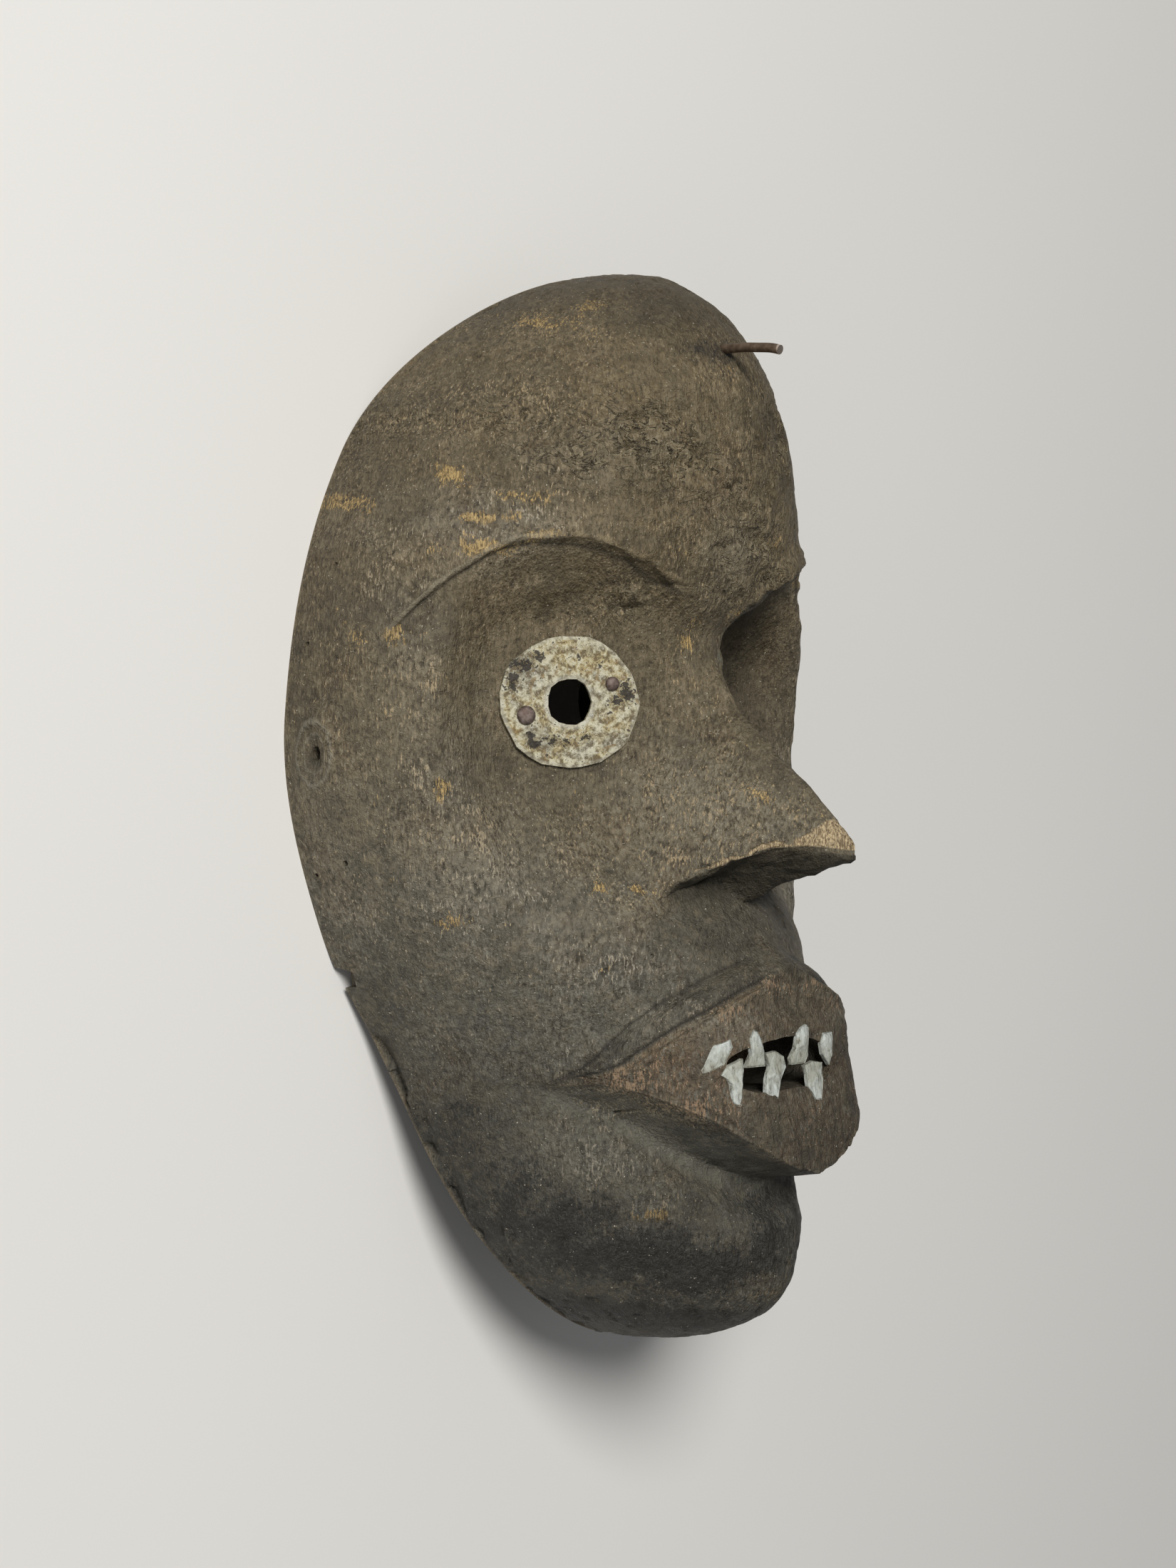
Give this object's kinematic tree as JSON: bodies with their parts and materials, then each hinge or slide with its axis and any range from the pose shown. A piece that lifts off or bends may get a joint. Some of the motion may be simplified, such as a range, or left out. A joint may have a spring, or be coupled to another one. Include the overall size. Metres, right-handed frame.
{
  "type": "carved face mask",
  "caption": "Carved wooden face mask, hollow behind, with sheet-metal eye rings, inset teeth and a bent nail in the brow.",
  "frame": {"origin": "middle of the footprint, on the plane of the back rim", "axes": "+Z out of the face, +Y toward the crown of the head, +X toward the mask's own left"},
  "size_m": [0.1576, 0.25, 0.0986],
  "materials": {
    "carved_wood": "dark worn patina",
    "eye_sheet": "oxidised, flaking",
    "iron_nail": "rusted brown",
    "tooth": "chalky"
  },
  "bodies": {
    "root": {"mask_body": "carved_wood", "eye_disc_right": "eye_sheet", "eye_disc_left": "eye_sheet", "disc_nail_right_outer": "iron_nail", "disc_nail_right_inner": "iron_nail", "disc_nail_left_outer": "iron_nail", "disc_nail_left_inner": "iron_nail", "tooth_upper_1": "tooth", "tooth_upper_2": "tooth", "tooth_upper_3": "tooth", "tooth_upper_4": "tooth", "tooth_lower_1": "tooth", "tooth_lower_2": "tooth", "tooth_lower_3": "tooth", "bent_nail": "iron_nail"}
  },
  "joints": []
}
